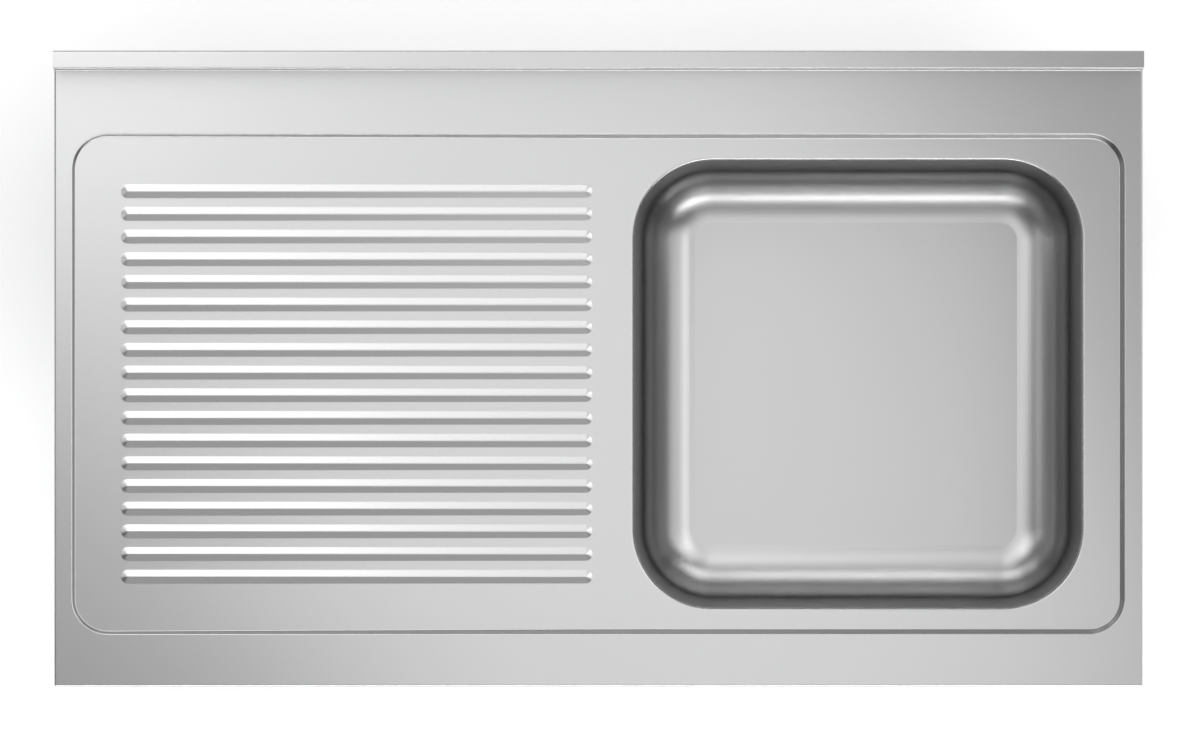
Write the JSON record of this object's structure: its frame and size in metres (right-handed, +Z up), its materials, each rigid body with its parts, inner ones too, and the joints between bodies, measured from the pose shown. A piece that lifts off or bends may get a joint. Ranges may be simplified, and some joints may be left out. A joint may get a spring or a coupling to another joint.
{
  "type": "kitchen sink with drainboard",
  "caption": "Stainless steel sink top with a wall upstand, a pressed recess, a ribbed drainer on the left and one deep square bowl on the right, for fixing on a stand or cabinet.",
  "frame": {"origin": "centre of the four fixing holes, on the underside of the corner brackets", "axes": "+X to the right when facing the wall, towards the bowl; +Y to the wall; +Z up"},
  "size_m": [1.2, 0.7, 0.3632],
  "materials": {
    "stainless": "satin rolled stainless steel",
    "stainless_plain": "plain mill-finish stainless steel",
    "galvanised": "hot-dip galvanised steel",
    "deadening_mat": "matt bitumen sheet",
    "fastener": "bright zinc plate"
  },
  "bodies": {
    "root": {"top_sheet": "stainless", "bowl": "stainless", "rear_panel": "stainless_plain", "upstand_end_cap_left": "stainless", "upstand_end_cap_right": "stainless", "corner_bracket_front_left": "galvanised", "corner_bracket_front_right": "galvanised", "corner_bracket_rear_left": "galvanised", "corner_bracket_rear_right": "galvanised", "front_rail": "galvanised", "rear_rail": "galvanised", "drainer_rail_left": "galvanised", "drainer_rail_middle": "galvanised", "drainer_rail_bowl_side": "galvanised", "rail_studs": "fastener", "rail_nuts": "fastener", "drainer_mat_left": "deadening_mat", "drainer_mat_right": "deadening_mat", "bowl_mat_right": "deadening_mat", "bowl_mat_rear": "deadening_mat", "bowl_mat_left": "deadening_mat", "bowl_mat_front": "deadening_mat", "bowl_mat_floor": "deadening_mat", "earth_stud": "fastener", "earth_washer": "fastener", "earth_nut": "fastener"}
  },
  "joints": []
}
